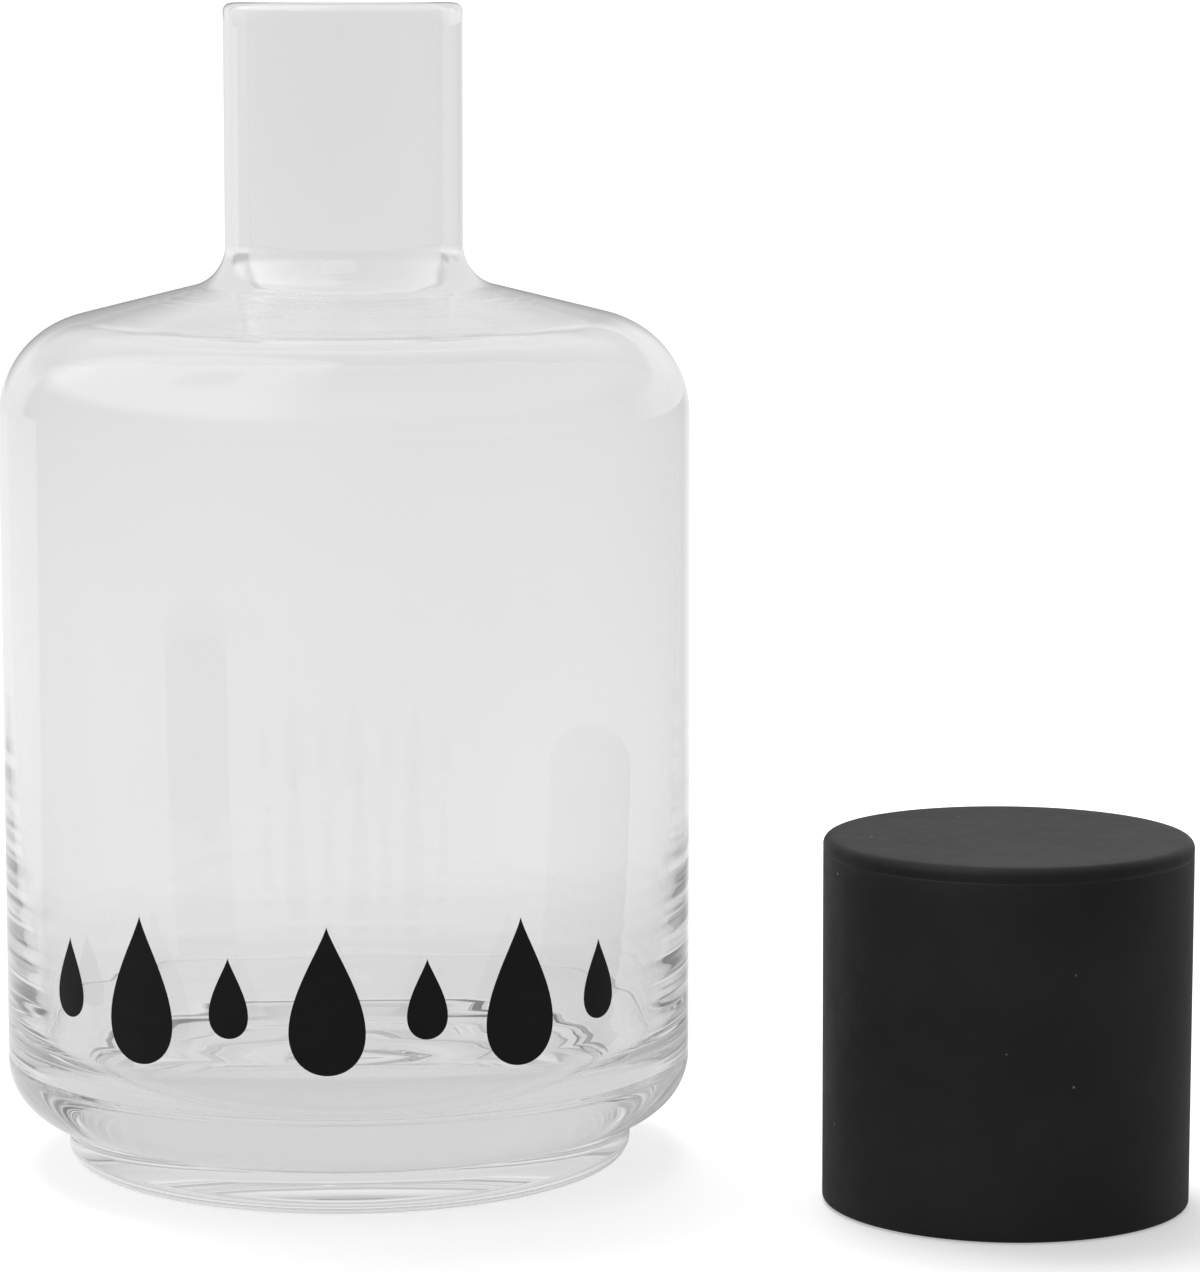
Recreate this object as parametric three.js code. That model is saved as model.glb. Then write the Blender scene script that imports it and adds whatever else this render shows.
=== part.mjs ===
// Glass carafe with its slip-over cap standing beside it, mouth down.
// Units are millimetres, +Z is up, and both pieces stand on the plane z = 0.
// The origin is the centre of the set's footprint, on that plane.
import * as THREE from 'three';

// Carafe, outside
const BODY_RADIUS = 57.5;
const RIM_HEIGHT = 193.5;
const FOOT_RADIUS = 47.5;
const FOOT_HEIGHT = 7.5;
const FOOT_EDGE_RADIUS = 3;
const HEEL_RADIUS = 10;
const SHOULDER_HEIGHT = 125.5;
const SHOULDER_RADIUS = 17;
const SHOULDER_SLOPE = 14 * Math.PI / 180;
const NECK_RADIUS = 19.8;
const NECK_FILLET = 7;
const RIM_EDGE_RADIUS = 1.2;

// Carafe, inside and underneath
const WALL = 2.2;
const NECK_WALL = 4;
const BASE_WALL = 5;
const TAPER_HEIGHT = 70;
const FLOOR_HEIGHT = 11;
const FLOOR_FILLET = 16;
const FOOT_RING_WIDTH = 4.5;
const PUNT_HEIGHT = 2.5;

// Cap
const CAP_RADIUS = 30;
const CAP_HEIGHT = 60;
const CAP_WALL = 3;
const CAP_TOP = 3.5;
const CAP_EDGE_RADIUS = 1.4;
const CAP_LIP_RADIUS = 0.8;
const CAP_DISH_DEPTH = 0.6;
const CAP_DISH_MARGIN = 2.5;

// Stopper inside the cap
const PLUG_CLEARANCE = 0.8;
const PLUG_DEPTH = 30;
const PLUG_WALL = 2.4;
const PLUG_EDGE_RADIUS = 2;
const FLANGE_CLEARANCE = 0.3;
const FLANGE_THICKNESS = 3;
const GROOVE_DEPTH = 0.9;
const GROOVE_WIDTH = 3.2;
const GROOVE_SPACING = 8;
const GROOVE_END_DISTANCE = 5;
const SEAL_CLEARANCE = 0.25;
const SEAL_SQUEEZE = 0.4;

// Where the cap stands, measured from the carafe's axis
const CAP_OFFSET_X = 109;
const CAP_OFFSET_Y = -33;

// Facets
const OUTER_SEGMENTS = 48;
const STOPPER_SEGMENTS = 32;
const CHORD_ERROR = 0.12;
const DOME_STEPS = 4;

// Centre of the set's footprint, measured from the carafe's axis
const FOOTPRINT_X = (Math.max(BODY_RADIUS, CAP_OFFSET_X + CAP_RADIUS)
  + Math.min(-BODY_RADIUS, CAP_OFFSET_X - CAP_RADIUS)) / 2;
const FOOTPRINT_Y = (Math.max(BODY_RADIUS, CAP_OFFSET_Y + CAP_RADIUS)
  + Math.min(-BODY_RADIUS, CAP_OFFSET_Y - CAP_RADIUS)) / 2;

const QUARTER = Math.PI / 2;

// Points along an arc in the profile plane, both ends included, with chords that stay near the arc.
function arc(centreRadius, centreHeight, radius, from, to) {
  const widestStep = 2 * Math.acos(1 - Math.min(CHORD_ERROR / radius, 1));
  const steps = Math.ceil(Math.abs(to - from) / widestStep);
  return Array.from({ length: steps + 1 }, (_, i) => {
    const angle = from + (to - from) * i / steps;
    return new THREE.Vector2(
      centreRadius + radius * Math.cos(angle),
      centreHeight + radius * Math.sin(angle),
    );
  });
}

function point(radius, height) {
  return new THREE.Vector2(radius, height);
}

// A shallow bowl or dome of one circular arc, from its rim to the axis.
function dome(rimRadius, rimHeight, rise) {
  const radius = (rimRadius ** 2 + rise ** 2) / (2 * Math.abs(rise));
  const sweep = Math.asin(rimRadius / radius);
  const side = Math.sign(rise);
  return Array.from({ length: DOME_STEPS + 1 }, (_, i) => {
    const angle = sweep * (1 - i / DOME_STEPS);
    return point(radius * Math.sin(angle), rimHeight + rise + side * radius * (Math.cos(angle) - 1));
  });
}

// The shoulder from the body's top to the neck: a round, a cone and a fillet, each tangent to the next.
function shoulder(bodyRadius, round, neckRadius, fillet) {
  const turn = arc(bodyRadius - round, SHOULDER_HEIGHT, round, 0, QUARTER - SHOULDER_SLOPE);
  const top = turn[turn.length - 1];
  const filletFootRadius = neckRadius + fillet * (1 - Math.sin(SHOULDER_SLOPE));
  const filletFootHeight = top.y + (top.x - filletFootRadius) * Math.tan(SHOULDER_SLOPE);
  const filletCentre = point(neckRadius + fillet, filletFootHeight + fillet * Math.cos(SHOULDER_SLOPE));
  return [...turn, ...arc(filletCentre.x, filletCentre.y, fillet, -QUARTER - SHOULDER_SLOPE, -2 * QUARTER)];
}

// A solid of revolution about Z from a profile of radius and height.
function turned(name, profile, segments, material) {
  const points = profile.filter((p, i) => i === 0 || p.distanceTo(profile[i - 1]) > 1e-6);
  const geometry = new THREE.LatheGeometry(points, segments);
  geometry.rotateX(QUARTER);
  const mesh = new THREE.Mesh(geometry, material);
  mesh.name = name;
  return mesh;
}

// Materials
const clearGlass = new THREE.MeshStandardMaterial({
  color: 0xe6eaea, roughness: 0.05, metalness: 0, transparent: true, opacity: 0.35,
});
const blackSilicone = new THREE.MeshStandardMaterial({ color: 0x1c1c1d, roughness: 0.75, metalness: 0 });
const blackPlastic = new THREE.MeshStandardMaterial({ color: 0x222223, roughness: 0.5, metalness: 0 });
const sealSilicone = new THREE.MeshStandardMaterial({ color: 0xb9bbba, roughness: 0.6, metalness: 0 });

// Carafe: underside, foot, heel, body, shoulder, neck and rim, then down the inside to the floor.
const boreRadius = NECK_RADIUS - NECK_WALL;
const heelRadius = Math.min(HEEL_RADIUS, BODY_RADIUS - FOOT_RADIUS);
const ringOuterRadius = FOOT_RADIUS - FOOT_EDGE_RADIUS;
const ringInnerRadius = ringOuterRadius - FOOT_RING_WIDTH;
const baseInnerRadius = BODY_RADIUS - BASE_WALL;
const rimEdge = Math.min(RIM_EDGE_RADIUS, NECK_WALL / 2);

function carafeGlass() {
  const underside = dome(ringInnerRadius, 0, PUNT_HEIGHT).reverse();
  const footEdge = arc(ringOuterRadius, FOOT_EDGE_RADIUS, FOOT_EDGE_RADIUS, -QUARTER, 0);
  const heel = arc(BODY_RADIUS - heelRadius, FOOT_HEIGHT + heelRadius, heelRadius, -QUARTER, 0);
  const outerShoulder = shoulder(BODY_RADIUS, SHOULDER_RADIUS, NECK_RADIUS, NECK_FILLET);
  const rim = [
    ...arc(NECK_RADIUS - rimEdge, RIM_HEIGHT - rimEdge, rimEdge, 0, QUARTER),
    ...arc(boreRadius + rimEdge, RIM_HEIGHT - rimEdge, rimEdge, QUARTER, 2 * QUARTER),
  ];
  const innerShoulder = shoulder(BODY_RADIUS - WALL, SHOULDER_RADIUS - WALL, boreRadius, NECK_FILLET + WALL);
  const floorFillet = arc(
    baseInnerRadius - FLOOR_FILLET, FLOOR_HEIGHT + FLOOR_FILLET, FLOOR_FILLET, 0, -QUARTER,
  );
  const profile = [
    ...underside,
    ...footEdge,
    point(FOOT_RADIUS, FOOT_HEIGHT),
    ...heel,
    ...outerShoulder,
    ...rim,
    ...innerShoulder.reverse(),
    point(BODY_RADIUS - WALL, TAPER_HEIGHT),
    ...floorFillet,
    point(0, FLOOR_HEIGHT),
  ];
  return turned('carafe_glass', profile, OUTER_SEGMENTS, clearGlass);
}

// Cap: from the centre of the inside of its top, down the inside, round the lip and up over the top.
const capInnerRadius = CAP_RADIUS - CAP_WALL;
const ceilingHeight = CAP_HEIGHT - CAP_TOP;
const lipRadius = Math.min(CAP_LIP_RADIUS, CAP_WALL / 2);

function capShell() {
  const dishRadius = CAP_RADIUS - CAP_DISH_MARGIN;
  const profile = [
    point(0, ceilingHeight),
    point(capInnerRadius, ceilingHeight),
    ...arc(capInnerRadius + lipRadius, lipRadius, lipRadius, 2 * QUARTER, 3 * QUARTER),
    ...arc(CAP_RADIUS - lipRadius, lipRadius, lipRadius, -QUARTER, 0),
    ...arc(CAP_RADIUS - CAP_EDGE_RADIUS, CAP_HEIGHT - CAP_EDGE_RADIUS, CAP_EDGE_RADIUS, 0, QUARTER),
    ...dome(dishRadius, CAP_HEIGHT, -CAP_DISH_DEPTH),
  ];
  return turned('cap_shell', profile, OUTER_SEGMENTS, blackSilicone);
}

// Stopper: a cup hung from a flange against the inside of the cap's top, with two grooves for its seals.
const plugRadius = boreRadius - PLUG_CLEARANCE;
const plugEndHeight = ceilingHeight - PLUG_DEPTH;
const grooveRadius = plugRadius - GROOVE_DEPTH;
const lowerGrooveHeight = plugEndHeight + GROOVE_END_DISTANCE;
const upperGrooveHeight = lowerGrooveHeight + GROOVE_SPACING;

// The notch that a seal sits in, from its lower edge to its upper edge.
function groove(height) {
  return [
    point(plugRadius, height - GROOVE_WIDTH / 2),
    point(grooveRadius, height - GROOVE_WIDTH / 2),
    point(grooveRadius, height + GROOVE_WIDTH / 2),
    point(plugRadius, height + GROOVE_WIDTH / 2),
  ];
}

function stopperPlug() {
  const cupRadius = grooveRadius - PLUG_WALL;
  const flangeRadius = capInnerRadius - FLANGE_CLEARANCE;
  const profile = [
    point(0, plugEndHeight),
    ...arc(plugRadius - PLUG_EDGE_RADIUS, plugEndHeight + PLUG_EDGE_RADIUS, PLUG_EDGE_RADIUS, -QUARTER, 0),
    ...groove(lowerGrooveHeight),
    ...groove(upperGrooveHeight),
    point(plugRadius, ceilingHeight - FLANGE_THICKNESS),
    point(flangeRadius, ceilingHeight - FLANGE_THICKNESS),
    point(flangeRadius, ceilingHeight),
    point(cupRadius, ceilingHeight),
    point(cupRadius, plugEndHeight + PLUG_WALL),
    point(0, plugEndHeight + PLUG_WALL),
  ];
  return turned('stopper_plug', profile, STOPPER_SEGMENTS, blackPlastic);
}

// A seal ring: square where it sits in its groove, round where it presses on the neck's bore.
function stopperSeal(name, height) {
  const innerRadius = grooveRadius + SEAL_CLEARANCE;
  const halfWidth = GROOVE_WIDTH / 2 - SEAL_CLEARANCE;
  const outerRadius = boreRadius + SEAL_SQUEEZE;
  const round = Math.min(halfWidth, outerRadius - plugRadius);
  const profile = [
    point(innerRadius, height - halfWidth),
    ...arc(outerRadius - round, height - halfWidth + round, round, -QUARTER, 0),
    ...arc(outerRadius - round, height + halfWidth - round, round, 0, QUARTER),
    point(innerRadius, height + halfWidth),
    point(innerRadius, height - halfWidth),
  ];
  return turned(name, profile, STOPPER_SEGMENTS, sealSilicone);
}

const carafe = new THREE.Group();
carafe.add(carafeGlass());

const cap = new THREE.Group();
cap.position.set(CAP_OFFSET_X, CAP_OFFSET_Y, 0);
cap.add(capShell());
cap.add(stopperPlug());
cap.add(stopperSeal('stopper_seal_lower', lowerGrooveHeight));
cap.add(stopperSeal('stopper_seal_upper', upperGrooveHeight));

const set = new THREE.Group();
set.position.set(-FOOTPRINT_X, -FOOTPRINT_Y, 0);
set.add(carafe, cap);

export default set;
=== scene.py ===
import math

import bpy
import numpy as np
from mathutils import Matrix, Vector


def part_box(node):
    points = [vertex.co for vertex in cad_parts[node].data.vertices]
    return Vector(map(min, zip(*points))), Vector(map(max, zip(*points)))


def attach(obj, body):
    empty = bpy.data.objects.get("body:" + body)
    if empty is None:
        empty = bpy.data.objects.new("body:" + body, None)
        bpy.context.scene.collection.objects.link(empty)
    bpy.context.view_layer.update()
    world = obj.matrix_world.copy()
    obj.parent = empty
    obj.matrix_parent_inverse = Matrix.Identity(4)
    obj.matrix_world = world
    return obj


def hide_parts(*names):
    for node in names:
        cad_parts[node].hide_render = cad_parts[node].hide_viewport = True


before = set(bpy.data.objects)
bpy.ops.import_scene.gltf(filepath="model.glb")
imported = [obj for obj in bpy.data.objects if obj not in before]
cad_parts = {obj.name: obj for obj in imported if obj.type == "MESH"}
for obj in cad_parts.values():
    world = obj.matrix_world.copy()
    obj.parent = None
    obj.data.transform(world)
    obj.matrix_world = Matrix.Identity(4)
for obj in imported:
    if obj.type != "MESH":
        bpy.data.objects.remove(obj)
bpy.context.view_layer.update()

# A glass carafe and its slip-over cap: the dressed pieces, then the studio and the camera.
# Sizes are written in millimetres and turned into metres when a mesh is made.
MM = 0.001


def metres(sizes):
    """Sizes in millimetres, turned into metres."""
    return [v * MM for v in sizes]


def box(node):
    """Low and high corner of a CAD node's box, in millimetres."""
    low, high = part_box(node)
    return low / MM, high / MM


glass_low, glass_high = box("carafe_glass")
cap_low, cap_high = box("cap_shell")
GLASS_AXIS = (glass_low + glass_high) / 2
CAP_AXIS = (cap_low + cap_high) / 2
BODY_RADIUS = (glass_high.x - glass_low.x) / 2
RIM_HEIGHT = glass_high.z
CAP_RADIUS = (cap_high.x - cap_low.x) / 2
CAP_HEIGHT = cap_high.z

# Camera, from the photo's outline
PHOTO_LONG_SIDE = 1272
FOCAL_PIXELS = 5022
SENSOR = 36
CAMERA_PLACE = (11.2, -832.1, 200.8)
CAMERA_PITCH = 7.69
CAMERA_TURN = 0.65

# Carafe, outside
FOOT_RADIUS = 47.5
FOOT_HEIGHT = 7.5
FOOT_EDGE_RADIUS = 3
FOOT_CORNER_RADIUS = 0.5
FOOT_RING_WIDTH = 4.5
PUNT_HEIGHT = 2.5
HEEL_RADIUS = 10
SEAM_ABOVE_HEEL = 0.9
SEAM_HALF_WIDTH = 0.7
SEAM_DEPTH = 0.16
SHOULDER_HEIGHT = 125.5
SHOULDER_RADIUS = 17
SHOULDER_SLOPE = 14
NECK_RADIUS = 19.8
NECK_FILLET = 7
RIM_EDGE_RADIUS = 1.4

# Carafe, inside
WALL = 1.8
NECK_WALL = 4
BASE_WALL = 5
TAPER_POWER = 4
FLOOR_HEIGHT = 11
FLOOR_FILLET = 16
FLOOR_RISE = 0.6
BORE_RADIUS = NECK_RADIUS - NECK_WALL

# Unevenness of the glass: swells are (depth, waves round the axis, phase, height for one radian)
OUTER_SWELLS = ((0.02, 3, 0, 31),)
INNER_SWELLS = ((0.07, 2, 0.6, 55), (0.05, 5, 1.9, -38))
INNER_STREAKS = ((0.018, 13, 0.4, math.inf), (0.012, 23, 2.1, 90))
CALM_HEIGHT = 60
CALM_LEAST = 0.3
SWELL_FADE_RADIUS = 10

# Ripples at the bottom of the neck, and soft rings on the floor and the wall above it
RIPPLE_TOP = 158
RIPPLE_RADIUS = 28
RIPPLE_LEVEL = 146
RIPPLE_REACH = 8
RIPPLE_LENGTH = 1.9
RIPPLE_DEPTH = 0.0098
RIPPLE_TWIST = 1.3
FLOOR_RING_RADIUS = 37
FLOOR_RING_REACH = 14
FLOOR_RING_LENGTH = 5.2
FLOOR_RING_DEPTH = 0.02
FLOOR_RING_FADE = 0.3
FLOOR_RING_PHASE = 0.5
WALL_RING_TOP = 56
WALL_RING_LENGTHS = (5.2, 3.3)
WALL_RING_DEPTH = 0.03

# Printed drops round the front of the body
DROP_HEIGHTS = (24, 13)
DROP_WIDTH_SHARE = 0.56
DROP_COUNT = 7
DROP_PITCH = 16
DROP_MIDDLE_HEIGHT = 37.5
DROP_LIFT = 0.02
DROP_THICKNESS = 0.07
DROP_FULLNESS = 0.65
DROP_TAPER = 1.5
DROP_LOOPS = (1, 0.8, 0.6, 0.4, 0.2)
DROP_CENTRE_SHIFT = 0.12

# Cap and its stopper
CAP_WALL = 3
CAP_TOP = 3.5
CAP_EDGE_RADIUS = 1.4
CAP_LIP_RADIUS = 0.8
CAP_DISH_DEPTH = 0.6
CAP_DISH_MARGIN = 2.5
CAP_SQUEEZE = 0.12
CAP_SWELLS = ((0.6, 2, 0.8, math.inf), (0.25, 5, 0, math.inf))
PARTING_BELOW_TOP = 2.4
PARTING_HALF_WIDTH = 0.22
PARTING_DEPTH = 0.16
PLUG_CLEARANCE = 0.8
PLUG_DEPTH = 30
PLUG_WALL = 2.4
PLUG_EDGE_RADIUS = 2
FLANGE_CLEARANCE = 0.3
FLANGE_THICKNESS = 3
GROOVE_DEPTH = 0.9
GROOVE_WIDTH = 3.2
GROOVE_SPACING = 8
GROOVE_END_DISTANCE = 5
SEAL_CLEARANCE = 0.25
SEAL_SQUEEZE = 0.4
CAP_CEILING = CAP_HEIGHT - CAP_TOP
PLUG_RADIUS = BORE_RADIUS - PLUG_CLEARANCE
PLUG_END = CAP_CEILING - PLUG_DEPTH
GROOVE_RADIUS = PLUG_RADIUS - GROOVE_DEPTH
SEAL_HEIGHTS = {
    "seal_ring_lower": PLUG_END + GROOVE_END_DISTANCE,
    "seal_ring_upper": PLUG_END + GROOVE_END_DISTANCE + GROOVE_SPACING,
}

# Glass. A render drops a ray that is turned back this often inside it, so the glass gives such a ray its own
# level of painted glow: painted light streaks in the thick base, and an even painted glow above.
GLASS_IOR = 1.47
TRAPPED_TURNS = (4, 5)
TRAPPED_GLOW_STREAKS = (0.2, 0.8)
TRAPPED_GLOW = 0.75
TRAPPED_HEIGHTS = (45, 110)
GLOW_STREAK_SCALE = 15
GLOW_STREAK_STRETCH = (1, 1, 24)
GLOW_STREAK_SPAN = (0.38, 0.62)

# Dust on silicone
DUST_CELLS = 210
DUST_SIZE = (0.035, 0.06)
DUST_PATCHES = (0.54, 0.6)
DUST_COLOUR = (0.26, 0.26, 0.25, 1)

# Studio: levels by direction run from the front (0) by the left, the back and the right to the front (1)
LIT_WALLS = ((0, 0.36), (0.12, 0.6), (0.25, 1.5), (0.5, 0.5), (0.75, 0.3), (1, 0.36))
LIT_CEILING = 0.4
CEILING_EDGE = (0.25, 0.4)
REFLECTED_CEILING = ((0, 0.85), (0.02, 1), (0.1, 2.3), (0.34, 2.3), (0.37, 0.85), (1, 0.85))
REFLECTED_WALLS = (
    (0, 0.3), (0.355, 0.3), (0.365, 0.9), (0.42, 0.9), (0.46, 0.22),
    (0.5, 0.22), (0.53, 0.85), (0.64, 0.85), (0.68, 0.3), (1, 0.3),
)
THROUGH_HEIGHTS = (
    (0, 0.8), (0.13, 0.9), (0.22, 0.95), (0.3, 0.6),
    (0.42, 0.6), (0.52, 0.85), (0.75, 0.85), (0.9, 0.7),
)
FLOOR_SHADE = 0.95
FLOOR_GLOW = (0.4, 0.8)
FLOOR_GLOW_REACH = (250, 1200)
# Painted light: a glow of the floor for the rays that light the pieces, standing in for bounce light.
FLOOR_BOUNCE_GLOW = 0.1
FLOOR_SHADE_BOUNCE = 0.6
# Rays through glass and reflections see a darker floor colour, so the floor they show is mostly its painted
# glow.
FLOOR_SHADE_THROUGH = 0.15
# Painted shade: for rays through glass the floor near the pieces glows at this level, standing in for the
# shade under the carafe.
FLOOR_NEAR = 0.63
FLOOR_NEAR_REACH = (90, 200)
# Painted light for rays through glass: the floor glows brighter towards the back and the left, darker towards
# the front.
FLOOR_THROUGH = (
    (0, 0.5), (0.15, 0.55), (0.25, 0.72), (0.42, 0.79),
    (0.57, 0.77), (0.7, 0.64), (0.85, 0.55), (1, 0.5),
)
# Painted light on the floor, shown only in reflections: a bright strip behind a slanted line on the left, and
# a bright band at the back.
STRIP_START = (-89.4, -27.9)
STRIP_TURN = 61
STRIP_EDGE = (-4, 12)
STRIP_RIGHT_END = (-40, -60)
STRIP_LEVELS = (0.3, 0.78)
STRIP_RIGHT = ((0, 0.3), (0.49, 0.3), (0.5, 0.8), (0.535, 0.8), (0.57, 0.3), (1, 0.3))

LAMP_PLACE = (-200, 480, 1400)
LAMP_TARGET = (0, 0, 50)
LAMP_SIZE = 800
KEY_POWER = 8
TOP_POWER = 6
FLOOR_SIZE = 80000
FLOOR_BELOW = 0.2
VIEW_REACH = 100000

# Fineness of the meshes
GLASS_SEGMENTS = 192
PLAIN_STEP = 3
BASE_STEP = 0.8
RIPPLE_STEP = 0.5
CAP_SEGMENTS = 128
CAP_STEP = 4
CAP_SHARP_ANGLE = 50
SHARP_ANGLE = 40
WALL_STEPS = 40
TINY = 1e-6


# Profile helpers: each returns points of radius and height, in millimetres

def arc(radius, height, size, start, end, steps=10):
    """Points on an arc about a centre, from one angle to another, in degrees."""
    angles = np.radians(np.linspace(start, end, steps + 1))
    return [(radius + size * math.cos(a), height + size * math.sin(a)) for a in angles]


def dome(rim_radius, rim_height, rise, steps=12):
    """A shallow arc from a rim to the axis."""
    size = (rim_radius**2 + rise**2) / (2 * abs(rise))
    sweep = math.asin(rim_radius / size)
    side = math.copysign(1, rise)
    angles = np.linspace(sweep, 0, steps + 1)
    return [(size * math.sin(a), rim_height + rise + side * size * (math.cos(a) - 1)) for a in angles]


def dent(radius, height, half_width, depth, steps=8):
    """A soft line pressed into a straight side, from below to above."""
    shares = np.linspace(-1, 1, steps + 1)
    return [(radius - depth * (1 + math.cos(math.pi * s)) / 2, height + half_width * s) for s in shares]


def dense(points, step):
    """The same outline with no stretch longer than step, a number or a function of height."""
    made = [points[0]]
    for a, b in zip(points, points[1:]):
        longest = step((a[1] + b[1]) / 2) if callable(step) else step
        count = max(1, math.ceil(math.dist(a, b) / longest))
        shares = [k / count for k in range(1, count + 1)]
        made += [(a[0] + (b[0] - a[0]) * t, a[1] + (b[1] - a[1]) * t) for t in shares]
    return [p for i, p in enumerate(made) if i == 0 or math.dist(p, made[i - 1]) > TINY]


def new_piece(name, vertices, faces, material, sharp_angle=None):
    """A smooth mesh object, from vertices in millimetres."""
    mesh = bpy.data.meshes.new(name)
    mesh.from_pydata([metres(p) for p in vertices], [], faces)
    mesh.polygons.foreach_set("use_smooth", [True] * len(mesh.polygons))
    if sharp_angle is not None:
        mesh.set_sharp_from_angle(angle=math.radians(sharp_angle))
    mesh.materials.append(material)
    piece = bpy.data.objects.new(name, mesh)
    bpy.context.scene.collection.objects.link(piece)
    return piece


def turned(name, profile, axis, segments, material, wobble=None, closed=False, sharp_angle=None):
    """A piece of revolution. wobble, from angle, radius and height, is a small move out and up."""
    vertices, rings = [], []
    for radius, height in profile:
        if radius < TINY:
            rings.append([len(vertices)] * segments)
            vertices.append((axis[0], axis[1], height))
            continue
        rings.append(list(range(len(vertices), len(vertices) + segments)))
        for k in range(segments):
            angle = 2 * math.pi * k / segments
            out, up = wobble(angle, radius, height) if wobble else (0, 0)
            size = radius + out
            vertices.append((axis[0] + size * math.cos(angle), axis[1] + size * math.sin(angle), height + up))
    if closed:
        rings.append(rings[0])
    faces = []
    for low, high in zip(rings, rings[1:]):
        for k in range(segments):
            n = (k + 1) % segments
            loop = [low[k], low[n], high[n], high[k]]
            corners = list(dict.fromkeys(loop))
            if len(corners) > 2:
                faces.append(corners)
    return new_piece(name, vertices, faces, material, sharp_angle)


# Material helpers

def new_material(name):
    """A material with a Principled shader, and its node tree."""
    material = bpy.data.materials.new(name)
    material.use_nodes = True
    return material, material.node_tree, material.node_tree.nodes["Principled BSDF"]


def noise(tree, scale, detail=3, stretch=None):
    """A noise texture in the object's own coordinates, in metres, finer along an axis of larger stretch."""
    place = tree.nodes.new("ShaderNodeTexCoord").outputs["Object"]
    if stretch:
        multiply = tree.nodes.new("ShaderNodeVectorMath")
        multiply.operation = "MULTIPLY"
        multiply.inputs[1].default_value = stretch
        tree.links.new(place, multiply.inputs[0])
        place = multiply.outputs["Vector"]
    texture = tree.nodes.new("ShaderNodeTexNoise")
    texture.inputs["Scale"].default_value = scale
    texture.inputs["Detail"].default_value = detail
    tree.links.new(place, texture.inputs["Vector"])
    return texture.outputs["Fac"]


def ramp(tree, value, stops):
    """A colour ramp over a value: stops are (place, colour)."""
    node = tree.nodes.new("ShaderNodeValToRGB")
    elements = node.color_ramp.elements
    while len(elements) < len(stops):
        elements.new(0.5)
    for element, (place, colour) in zip(elements, stops):
        element.position = place
        element.color = (*colour, 1)
    tree.links.new(value, node.inputs["Fac"])
    return node.outputs["Color"]


def grey_ramp(tree, value, levels):
    """A grey level over a value: levels are (place, level)."""
    return ramp(tree, value, [(place, (level,) * 3) for place, level in levels])


def spread(tree, value, low, high, span=(0, 1)):
    """A value that runs over a span, stretched to run from low to high."""
    node = tree.nodes.new("ShaderNodeMapRange")
    node.inputs["From Min"].default_value, node.inputs["From Max"].default_value = span
    node.inputs["To Min"].default_value = low
    node.inputs["To Max"].default_value = high
    tree.links.new(value, node.inputs["Value"])
    return node.outputs["Result"]


def feed(tree, value, socket):
    """Link an output to a socket, or set the socket to a plain number."""
    if isinstance(value, (int, float)):
        socket.default_value = value
    else:
        tree.links.new(value, socket)


def mixed(tree, factor, first, second):
    """A mix of two levels by a factor."""
    node = tree.nodes.new("ShaderNodeMix")
    tree.links.new(factor, node.inputs["Factor"])
    feed(tree, first, node.inputs["A"])
    feed(tree, second, node.inputs["B"])
    return node.outputs["Result"]


def direction(tree, coordinates):
    """The parts along X, Y and Z of a place on the floor or a way into the world."""
    source = tree.nodes.new("ShaderNodeTexCoord")
    split = tree.nodes.new("ShaderNodeSeparateXYZ")
    tree.links.new(source.outputs[coordinates], split.inputs["Vector"])
    return split.outputs


def bump(tree, shader, value, height):
    """Fine relief of that height, in millimetres."""
    node = tree.nodes.new("ShaderNodeBump")
    node.inputs["Strength"].default_value = 1
    node.inputs["Distance"].default_value = height * MM
    tree.links.new(value, node.inputs["Height"])
    tree.links.new(node.outputs["Normal"], shader.inputs["Normal"])


def glass_material():
    """Clear blown glass: barely grey, with faint waves, and a painted glow for rays turned back inside it."""
    material, tree, shader = new_material("clear_glass")
    shader.inputs["Transmission Weight"].default_value = 1
    shader.inputs["IOR"].default_value = GLASS_IOR
    tint = ramp(tree, noise(tree, scale=14), [(0.3, (0.93, 0.93, 0.93)), (0.7, (0.955, 0.955, 0.955))])
    tree.links.new(tint, shader.inputs["Base Color"])
    tree.links.new(spread(tree, noise(tree, scale=60), low=0, high=0.012), shader.inputs["Roughness"])
    bump(tree, shader, noise(tree, scale=45, detail=1), height=0.03)
    # Painted glow: emission for rays turned back often inside the glass, streaked in the base and even above.
    path = tree.nodes.new("ShaderNodeLightPath")
    turned_back = spread(tree, path.outputs["Glossy Depth"], 0, 1, TRAPPED_TURNS)
    streaks = noise(tree, GLOW_STREAK_SCALE, detail=2, stretch=GLOW_STREAK_STRETCH)
    base_glow = spread(tree, streaks, *TRAPPED_GLOW_STREAKS, GLOW_STREAK_SPAN)
    above_base = spread(tree, direction(tree, "Object")["Z"], 0, 1, metres(TRAPPED_HEIGHTS))
    level = mixed(tree, above_base, base_glow, TRAPPED_GLOW)
    tree.links.new(mixed(tree, turned_back, 0, level), shader.inputs["Emission Strength"])
    shader.inputs["Emission Color"].default_value = (1, 1, 1, 1)
    material.cycles.emission_sampling = "NONE"
    return material


def print_material():
    """Black fired enamel, slightly uneven."""
    material, tree, shader = new_material("black_enamel")
    tone = ramp(tree, noise(tree, scale=400), [(0.3, (0.003, 0.003, 0.003)), (0.75, (0.006, 0.006, 0.006))])
    tree.links.new(tone, shader.inputs["Base Color"])
    tree.links.new(spread(tree, noise(tree, scale=900), low=0.35, high=0.5), shader.inputs["Roughness"])
    shader.inputs["Specular IOR Level"].default_value = 0.25
    bump(tree, shader, noise(tree, scale=2500), height=0.01)
    return material


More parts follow.
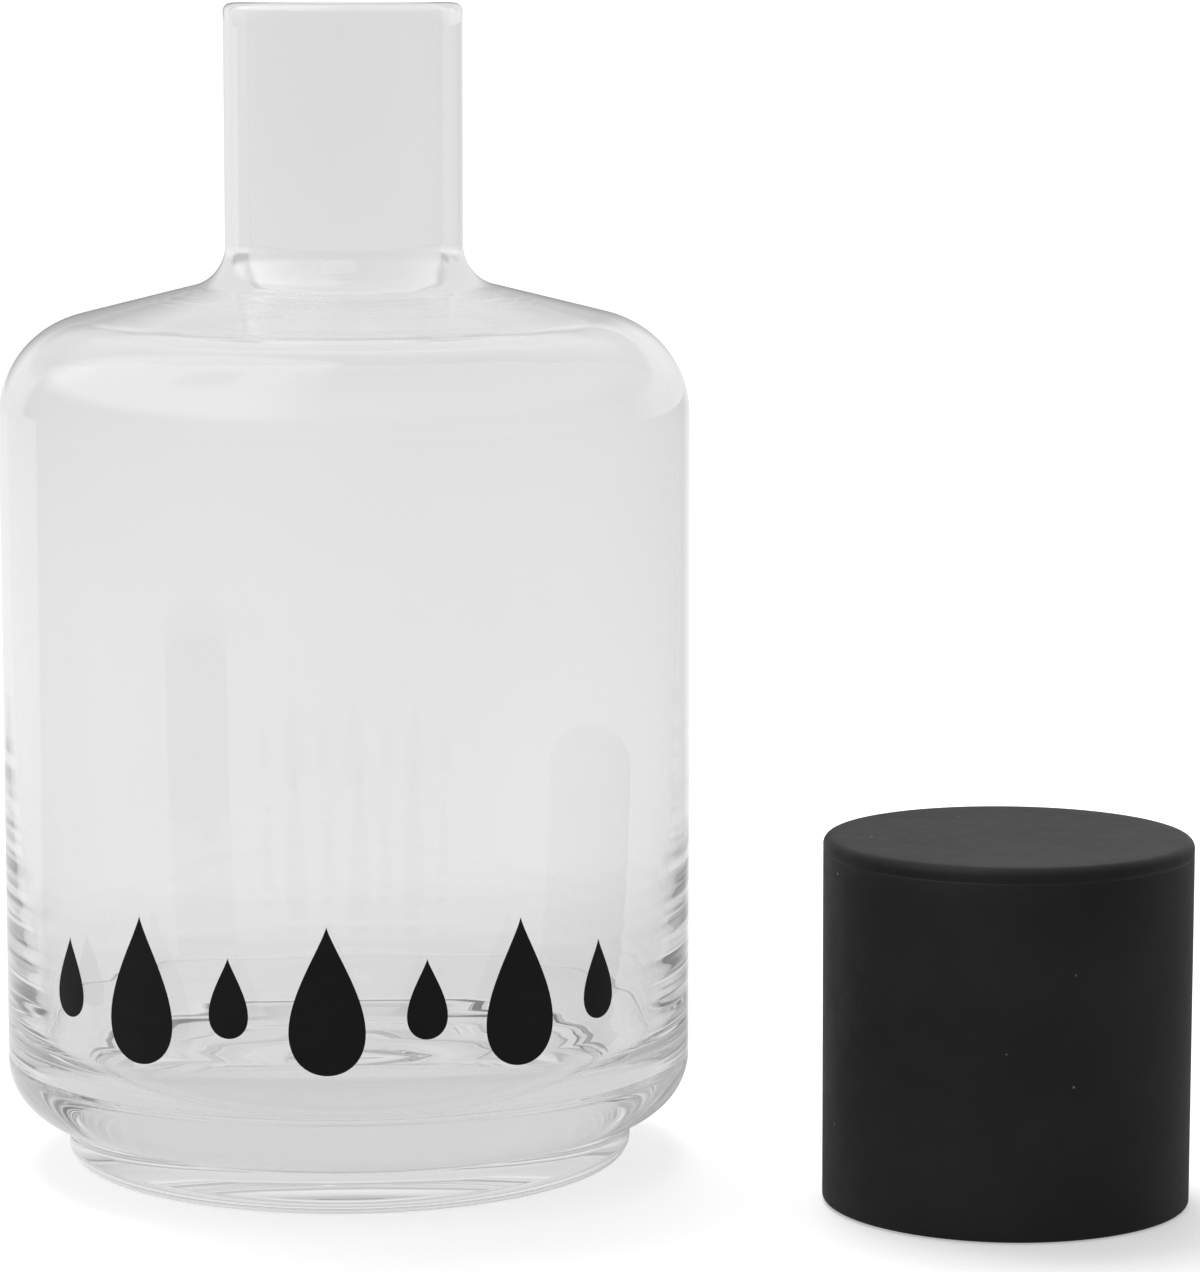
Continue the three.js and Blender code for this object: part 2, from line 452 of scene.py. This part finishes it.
def silicone_material(name, dark, light, rough):
    """Matte soft silicone: cloudy tone, fine grain and a few specks of dust."""
    material, tree, shader = new_material(name)
    cloud = ramp(tree, noise(tree, scale=55, detail=5), [(0.3, dark), (0.72, light)])
    coordinates = tree.nodes.new("ShaderNodeTexCoord")
    cells = tree.nodes.new("ShaderNodeTexVoronoi")
    cells.inputs["Scale"].default_value = DUST_CELLS
    tree.links.new(coordinates.outputs["Object"], cells.inputs["Vector"])
    specks = grey_ramp(tree, cells.outputs["Distance"], zip(DUST_SIZE, (1, 0)))
    some = grey_ramp(tree, noise(tree, scale=120, detail=2), zip(DUST_PATCHES, (0, 1)))
    both = tree.nodes.new("ShaderNodeMix")
    both.data_type = "RGBA"
    both.blend_type = "MULTIPLY"
    both.inputs["Factor"].default_value = 1
    tree.links.new(specks, both.inputs["A"])
    tree.links.new(some, both.inputs["B"])
    mix = tree.nodes.new("ShaderNodeMix")
    mix.data_type = "RGBA"
    mix.inputs["B"].default_value = DUST_COLOUR
    tree.links.new(both.outputs["Result"], mix.inputs["Factor"])
    tree.links.new(cloud, mix.inputs["A"])
    tree.links.new(mix.outputs["Result"], shader.inputs["Base Color"])
    tree.links.new(spread(tree, noise(tree, scale=300), *rough), shader.inputs["Roughness"])
    shader.inputs["Specular IOR Level"].default_value = 0.2
    bump(tree, shader, noise(tree, scale=2200, detail=4), height=0.04)
    return material


def plastic_material():
    """Satin moulded plastic with a fine spark-eroded grain."""
    material, tree, shader = new_material("black_plastic")
    tone = ramp(tree, noise(tree, scale=80), [(0.3, (0.034, 0.034, 0.036)), (0.7, (0.048, 0.048, 0.05))])
    tree.links.new(tone, shader.inputs["Base Color"])
    tree.links.new(spread(tree, noise(tree, scale=1500), low=0.42, high=0.55), shader.inputs["Roughness"])
    bump(tree, shader, noise(tree, scale=3000), height=0.03)
    return material


# Carafe

def shoulder(body_radius, size, neck_radius, fillet):
    """From the body's top to the neck: a round, a cone and a fillet, each tangent to the next."""
    slope = math.radians(SHOULDER_SLOPE)
    turn = arc(body_radius - size, SHOULDER_HEIGHT, size, 0, 90 - SHOULDER_SLOPE, steps=24)
    top_radius, top_height = turn[-1]
    foot_radius = neck_radius + fillet * (1 - math.sin(slope))
    foot_height = top_height + (top_radius - foot_radius) * math.tan(slope)
    centre = (neck_radius + fillet, foot_height + fillet * math.cos(slope))
    return turn + arc(*centre, fillet, -90 - SHOULDER_SLOPE, -180, steps=18)


def carafe_outside():
    """Underside, foot, heel, body, shoulder, neck and the outer half of the rim."""
    ring_outer = FOOT_RADIUS - FOOT_EDGE_RADIUS
    heel_centre = (BODY_RADIUS - HEEL_RADIUS, FOOT_HEIGHT + HEEL_RADIUS)
    heel_start = -90 + math.degrees(math.asin(FOOT_CORNER_RADIUS / HEEL_RADIUS))
    corner = (FOOT_RADIUS + FOOT_CORNER_RADIUS, FOOT_HEIGHT - FOOT_CORNER_RADIUS)
    return (
        dome(ring_outer - FOOT_RING_WIDTH, 0, PUNT_HEIGHT)[::-1]
        + arc(ring_outer, FOOT_EDGE_RADIUS, FOOT_EDGE_RADIUS, -90, 0)
        + arc(*corner, FOOT_CORNER_RADIUS, 180, 90, steps=5)
        + arc(*heel_centre, HEEL_RADIUS, heel_start, 0, steps=20)
        + dent(BODY_RADIUS, heel_centre[1] + SEAM_ABOVE_HEEL, SEAM_HALF_WIDTH, SEAM_DEPTH)
        + shoulder(BODY_RADIUS, SHOULDER_RADIUS, NECK_RADIUS, NECK_FILLET)
        + arc(NECK_RADIUS - RIM_EDGE_RADIUS, RIM_HEIGHT - RIM_EDGE_RADIUS, RIM_EDGE_RADIUS, 0, 90, steps=8)
    )


def carafe_inside():
    """The inner half of the rim, the bore, the inside of the shoulder and body, and the floor."""
    base_radius = BODY_RADIUS - BASE_WALL
    fillet_top = FLOOR_HEIGHT + FLOOR_FILLET
    shares = np.linspace(0, 1, WALL_STEPS)[1:-1]
    thickness = WALL + (BASE_WALL - WALL) * shares**TAPER_POWER
    heights = SHOULDER_HEIGHT - (SHOULDER_HEIGHT - fillet_top) * shares
    return (
        arc(BORE_RADIUS + RIM_EDGE_RADIUS, RIM_HEIGHT - RIM_EDGE_RADIUS, RIM_EDGE_RADIUS, 90, 180, steps=8)
        + shoulder(BODY_RADIUS - WALL, SHOULDER_RADIUS - WALL, BORE_RADIUS, NECK_FILLET + WALL)[::-1]
        + list(zip(BODY_RADIUS - thickness, heights))
        + arc(base_radius - FLOOR_FILLET, fillet_top, FLOOR_FILLET, 0, -90, steps=24)
        + dome(base_radius - FLOOR_FILLET, FLOOR_HEIGHT, FLOOR_RISE)
    )


def swells(waves, angle, height):
    """The sum of some slow waves at a place on a round piece."""
    return sum(
        depth * math.sin(count * angle + phase + height / pitch) for depth, count, phase, pitch in waves
    )


def outer_wave(angle, radius, height):
    """Faint unevenness of blown glass, outside."""
    return swells(OUTER_SWELLS, angle, height), 0


def neck_ripple(angle, radius, height):
    """Fine ripples round the bottom of the neck."""
    distance = math.hypot(radius - RIPPLE_RADIUS, height - RIPPLE_LEVEL)
    fade = max(0, 1 - (distance / RIPPLE_REACH) ** 2)
    turn = 2 * math.pi * distance / RIPPLE_LENGTH + RIPPLE_TWIST * math.sin(2 * angle)
    return RIPPLE_DEPTH * fade * math.sin(turn)


def floor_ring(angle, radius):
    """Soft rings on the carafe's floor, fainter on one side."""
    fade = max(0, 1 - ((radius - FLOOR_RING_RADIUS) / FLOOR_RING_REACH) ** 2)
    strength = 1 - FLOOR_RING_FADE * (1 - math.sin(angle - FLOOR_RING_PHASE))
    turn = 2 * math.pi * radius / FLOOR_RING_LENGTH + math.sin(2 * angle)
    return FLOOR_RING_DEPTH * fade * strength * math.sin(turn)


def wall_ring(angle, height):
    """Soft rings on the wall above the floor, of more than one length."""
    fade = (1 - height / WALL_RING_TOP) ** 0.5
    turns = [2 * math.pi * height / length + math.sin(angle + length) for length in WALL_RING_LENGTHS]
    return WALL_RING_DEPTH / 2 * fade * sum(math.sin(turn) for turn in turns)


def inner_wave(angle, radius, height):
    """Unevenness inside: swells and streaks, calmer near the floor, with ripples and rings."""
    calm = min(1, max(CALM_LEAST, height / CALM_HEIGHT))
    swell = swells(INNER_SWELLS, angle, height) + swells(INNER_STREAKS, angle, height) * calm
    out = swell * calm * min(1, radius / SWELL_FADE_RADIUS)
    up = 0
    if SHOULDER_HEIGHT < height < RIPPLE_TOP:
        ripple = neck_ripple(angle, radius, height)
        out += ripple
        up += ripple
    if height < SHOULDER_HEIGHT / 2:
        up += floor_ring(angle, radius)
    if FLOOR_HEIGHT + FLOOR_FILLET / 2 < height < WALL_RING_TOP:
        out += wall_ring(angle, height)
    return out, up


def inner_step(height):
    """How far apart the inside's rings may be: close where it ripples, wide on the plain wall and bore."""
    if height < WALL_RING_TOP:
        return BASE_STEP
    if RIPPLE_LEVEL - RIPPLE_REACH < height < RIPPLE_TOP:
        return RIPPLE_STEP
    return PLAIN_STEP


def make_carafe():
    """The glass: its outside and inside each have their own unevenness."""
    outside = dense(carafe_outside(), PLAIN_STEP)
    inside = dense(carafe_inside(), inner_step)
    inner_points = set(inside)

    def wave(angle, radius, height):
        chosen = inner_wave if (radius, height) in inner_points else outer_wave
        return chosen(angle, radius, height)

    return turned("glass_body", outside + inside, GLASS_AXIS, GLASS_SEGMENTS, glass_material(), wave)


def drop_outline(height, count=72):
    """A water drop about its middle, pointed at the top."""
    width = height * DROP_WIDTH_SHARE
    made = []
    for k in range(count):
        t = 2 * math.pi * k / count
        across = DROP_FULLNESS * math.sin(t) * math.sin(t / 2) ** DROP_TAPER
        made.append((width * across, height / 2 * math.cos(t)))
    return made


def make_drop(name, height, along, material):
    """One printed drop, wrapped round the body, as a thin closed layer."""
    outline = drop_outline(height)
    count = len(outline)
    vertices = []
    for lift in (DROP_LIFT, DROP_LIFT + DROP_THICKNESS):
        radius = BODY_RADIUS + lift
        for share in DROP_LOOPS:
            for x, z in outline:
                angle = -math.pi / 2 + (along + x * share) / BODY_RADIUS
                place = (radius * math.cos(angle), radius * math.sin(angle))
                top = DROP_MIDDLE_HEIGHT + z * share - height * DROP_CENTRE_SHIFT * (1 - share)
                vertices.append((GLASS_AXIS[0] + place[0], GLASS_AXIS[1] + place[1], top))
    layer = count * len(DROP_LOOPS)
    faces = []
    for ring in range(len(DROP_LOOPS) - 1):
        for k in range(count):
            a, b = ring * count + k, ring * count + (k + 1) % count
            faces.append((a, b, b + count, a + count))
            faces.append((layer + a, layer + a + count, layer + b + count, layer + b))
    inner = (len(DROP_LOOPS) - 1) * count
    faces.append(tuple(inner + k for k in range(count)))
    faces.append(tuple(layer + inner + k for k in reversed(range(count))))
    for k in range(count):
        n = (k + 1) % count
        faces.append((k, layer + k, layer + n, n))
    return new_piece(name, vertices, faces, material, SHARP_ANGLE)


# Cap

def cap_profile():
    """From the centre of the inside of the top, down the inside, round the lip and up over the top."""
    inner = CAP_RADIUS - CAP_WALL
    return (
        [(0, CAP_CEILING), (inner, CAP_CEILING)]
        + arc(inner + CAP_LIP_RADIUS, CAP_LIP_RADIUS, CAP_LIP_RADIUS, 180, 270, steps=6)
        + arc(CAP_RADIUS - CAP_LIP_RADIUS, CAP_LIP_RADIUS, CAP_LIP_RADIUS, -90, 0, steps=6)
        + dent(CAP_RADIUS, CAP_HEIGHT - PARTING_BELOW_TOP, PARTING_HALF_WIDTH, PARTING_DEPTH)
        + arc(CAP_RADIUS - CAP_EDGE_RADIUS, CAP_HEIGHT - CAP_EDGE_RADIUS, CAP_EDGE_RADIUS, 0, 90, steps=8)
        + dome(CAP_RADIUS - CAP_DISH_MARGIN, CAP_HEIGHT, -CAP_DISH_DEPTH)
    )


def cap_wave(angle, radius, height):
    """Soft silicone stands a little out of round, most at its mouth."""
    open_end = 1 - height / CAP_HEIGHT
    return -CAP_SQUEEZE * open_end * (1 + swells(CAP_SWELLS, angle, height)), 0


def groove(height):
    """The notch that a seal ring sits in."""
    half = GROOVE_WIDTH / 2
    return [
        (PLUG_RADIUS, height - half),
        (GROOVE_RADIUS, height - half),
        (GROOVE_RADIUS, height + half),
        (PLUG_RADIUS, height + half),
    ]


def plug_profile():
    """A cup hung from a flange, with a groove for each seal ring."""
    cup = GROOVE_RADIUS - PLUG_WALL
    flange = CAP_RADIUS - CAP_WALL - FLANGE_CLEARANCE
    edge_centre = (PLUG_RADIUS - PLUG_EDGE_RADIUS, PLUG_END + PLUG_EDGE_RADIUS)
    profile = [(0, PLUG_END)] + arc(*edge_centre, PLUG_EDGE_RADIUS, -90, 0, steps=6)
    for height in SEAL_HEIGHTS.values():
        profile += groove(height)
    return profile + [
        (PLUG_RADIUS, CAP_CEILING - FLANGE_THICKNESS),
        (flange, CAP_CEILING - FLANGE_THICKNESS),
        (flange, CAP_CEILING),
        (cup, CAP_CEILING),
        (cup, PLUG_END + PLUG_WALL),
        (0, PLUG_END + PLUG_WALL),
    ]


def seal_profile(height):
    """Square where it sits in its groove, round where it presses on the bore."""
    half = GROOVE_WIDTH / 2 - SEAL_CLEARANCE
    inner = GROOVE_RADIUS + SEAL_CLEARANCE
    outer = BORE_RADIUS + SEAL_SQUEEZE
    size = min(half, outer - PLUG_RADIUS)
    return (
        [(inner, height - half)]
        + arc(outer - size, height - half + size, size, -90, 0, steps=6)
        + arc(outer - size, height + half - size, size, 0, 90, steps=6)
        + [(inner, height + half)]
    )


# Pieces on their bodies

glass = make_carafe()
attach(glass, "carafe")
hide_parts("carafe_glass")

enamel = print_material()
for k in range(DROP_COUNT):
    step = k - (DROP_COUNT - 1) / 2
    tall = DROP_HEIGHTS[(k + 1) % 2]
    drop = make_drop(f"printed_drop_{k + 1}", tall, step * DROP_PITCH, enamel)
    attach(drop, "carafe")

cap_silicone = silicone_material(
    "black_silicone", dark=(0.0125, 0.0125, 0.0136), light=(0.021, 0.021, 0.0228), rough=(0.48, 0.6)
)
cap_outline = dense(cap_profile(), CAP_STEP)
cap = turned(
    "cap_cover", cap_outline, CAP_AXIS, CAP_SEGMENTS, cap_silicone, cap_wave, sharp_angle=CAP_SHARP_ANGLE
)
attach(cap, "cap")
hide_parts("cap_shell")

plastic = plastic_material()
plug = turned("stopper_core", plug_profile(), CAP_AXIS, CAP_SEGMENTS, plastic, sharp_angle=SHARP_ANGLE)
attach(plug, "cap")
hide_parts("stopper_plug")

seal_silicone = silicone_material(
    "seal_silicone", dark=(0.42, 0.43, 0.42), light=(0.5, 0.51, 0.5), rough=(0.44, 0.56)
)
rings = []
for (name, height), node in zip(SEAL_HEIGHTS.items(), ("stopper_seal_lower", "stopper_seal_upper")):
    outline = seal_profile(height)
    ring = turned(name, outline, CAP_AXIS, CAP_SEGMENTS, seal_silicone, closed=True, sharp_angle=SHARP_ANGLE)
    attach(ring, "cap")
    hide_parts(node)
    rings.append(ring)


# Studio

def by_ray(tree, light, seen, through, mirrored):
    """A level for the rays that carry light, for camera rays, for rays through glass and for reflections."""
    path = tree.nodes.new("ShaderNodeLightPath")
    value = mixed(tree, path.outputs["Is Camera Ray"], light, seen)
    for kind, level in (("Is Reflection Ray", mirrored), ("Is Transmission Ray", through)):
        both = tree.nodes.new("ShaderNodeMath")
        both.operation = "MULTIPLY"
        tree.links.new(path.outputs["Is Glossy Ray"], both.inputs[0])
        tree.links.new(path.outputs[kind], both.inputs[1])
        value = mixed(tree, both.outputs[0], value, level)
    return value


def round_about(tree, coordinates, levels):
    """A level by direction: 0 and 1 are the front, 0.25 the left, 0.5 the back and 0.75 the right."""
    way = direction(tree, coordinates)
    turn = tree.nodes.new("ShaderNodeMath")
    turn.operation = "ARCTAN2"
    tree.links.new(way["X"], turn.inputs[0])
    tree.links.new(way["Y"], turn.inputs[1])
    return grey_ramp(tree, spread(tree, turn.outputs[0], 0, 1, (-math.pi, math.pi)), levels)


def painted_bright_strip(tree, place):
    """What reflections show of the floor: a painted glow, bright behind a slanted line on the left, else by
    direction.
    """
    turn = math.radians(STRIP_TURN)
    across = (math.cos(turn), math.sin(turn), 0)
    start = STRIP_START[0] * across[0] + STRIP_START[1] * across[1]
    along = tree.nodes.new("ShaderNodeVectorMath")
    along.operation = "DOT_PRODUCT"
    tree.links.new(place, along.inputs[0])
    along.inputs[1].default_value = across
    behind = spread(tree, along.outputs["Value"], 0, 1, metres(start + edge for edge in STRIP_EDGE))
    left = spread(tree, direction(tree, "Object")["X"], 0, 1, metres(STRIP_RIGHT_END))
    right = round_about(tree, "Object", STRIP_RIGHT)
    return mixed(tree, left, right, mixed(tree, behind, *STRIP_LEVELS))


def make_floor():
    """A white floor that keeps the shadows, just below the pieces that stand on it. Its glow holds painted
    light and painted shade for the rays that light the pieces, pass through glass or reflect.
    """
    size = FLOOR_SIZE / 2
    corners = [(x * size, y * size, -FLOOR_BELOW) for x, y in ((-1, -1), (1, -1), (1, 1), (-1, 1))]
    material, tree, shader = new_material("floor_white")
    shade = by_ray(tree, FLOOR_SHADE_BOUNCE, FLOOR_SHADE, FLOOR_SHADE_THROUGH, FLOOR_SHADE_THROUGH)
    tree.links.new(shade, shader.inputs["Base Color"])
    shader.inputs["Roughness"].default_value = 0.9
    shader.inputs["Specular IOR Level"].default_value = 0
    shader.inputs["Emission Color"].default_value = (1, 1, 1, 1)
    place = tree.nodes.new("ShaderNodeTexCoord")
    distance = tree.nodes.new("ShaderNodeVectorMath")
    distance.operation = "LENGTH"
    tree.links.new(place.outputs["Object"], distance.inputs[0])
    # Painted shade near the pieces and painted light by direction, for rays through glass.
    far = spread(tree, distance.outputs["Value"], 0, 1, metres(FLOOR_NEAR_REACH))
    through = mixed(tree, far, FLOOR_NEAR, round_about(tree, "Object", FLOOR_THROUGH))
    seen = spread(tree, distance.outputs["Value"], *FLOOR_GLOW, metres(FLOOR_GLOW_REACH))
    # The floor's glow: painted bounce light for lighting rays, white for the camera, painted shade and light
    # through glass, a painted bright strip in reflections.
    glow = by_ray(tree, FLOOR_BOUNCE_GLOW, seen, through, painted_bright_strip(tree, place.outputs["Object"]))
    tree.links.new(glow, shader.inputs["Emission Strength"])
    floor = new_piece("floor", corners, [(0, 1, 2, 3)], material)


def make_world():
    """A white backdrop to look at, and a soft light, stronger from the left. Glass shows softer greys."""
    world = bpy.data.worlds.new("studio")
    bpy.context.scene.world = world
    world.use_nodes = True
    tree = world.node_tree
    background = tree.nodes["Background"]
    background.inputs["Color"].default_value = (1, 1, 1, 1)
    height = direction(tree, "Generated")["Z"]
    above = spread(tree, height, 0, 1, CEILING_EDGE)
    light = mixed(tree, above, round_about(tree, "Generated", LIT_WALLS), LIT_CEILING)
    walls, ceiling = (round_about(tree, "Generated", v) for v in (REFLECTED_WALLS, REFLECTED_CEILING))
    mirrored = mixed(tree, above, walls, ceiling)
    through = grey_ramp(tree, height, THROUGH_HEIGHTS)
    strength = by_ray(tree, light, 1, through, mirrored)
    tree.links.new(strength, background.inputs["Strength"])


def add_softbox(name, power):
    """A wide square lamp above and behind the set, which reflections and glass don't show."""
    lamp = bpy.data.lights.new(name, "AREA")
    lamp.size = LAMP_SIZE * MM
    lamp.energy = power
    holder = bpy.data.objects.new(name, lamp)
    holder.visible_glossy = False
    holder.visible_transmission = False
    bpy.context.scene.collection.objects.link(holder)
    start = np.array(LAMP_PLACE) * MM
    way = np.array(LAMP_TARGET) * MM - start
    holder.location = start
    flat = math.hypot(way[0], way[1])
    holder.rotation_euler = (math.atan2(flat, -way[2]), 0, math.atan2(-way[0], way[1]))
    return holder


def make_camera():
    """The photo's viewpoint."""
    data = bpy.data.cameras.new("camera")
    data.sensor_width = SENSOR
    data.lens = FOCAL_PIXELS * SENSOR / PHOTO_LONG_SIDE
    data.clip_end = VIEW_REACH * MM
    camera = bpy.data.objects.new("camera", data)
    camera.location = metres(CAMERA_PLACE)
    camera.rotation_euler = (math.radians(90 - CAMERA_PITCH), 0, math.radians(CAMERA_TURN))
    bpy.context.scene.collection.objects.link(camera)
    bpy.context.scene.camera = camera


make_floor()
make_world()
add_softbox("key", KEY_POWER)

# Glass lets the second lamp's light through to the floor. The photo's glass shows no image of the cap.
top = add_softbox("top", TOP_POWER)
solid_pieces = bpy.data.collections.new("solid_pieces")
for piece in (cap, plug, *rings):
    solid_pieces.objects.link(piece)
    piece.visible_glossy = False
top.light_linking.blocker_collection = solid_pieces

make_camera()
bpy.context.scene.view_settings.view_transform = "Standard"
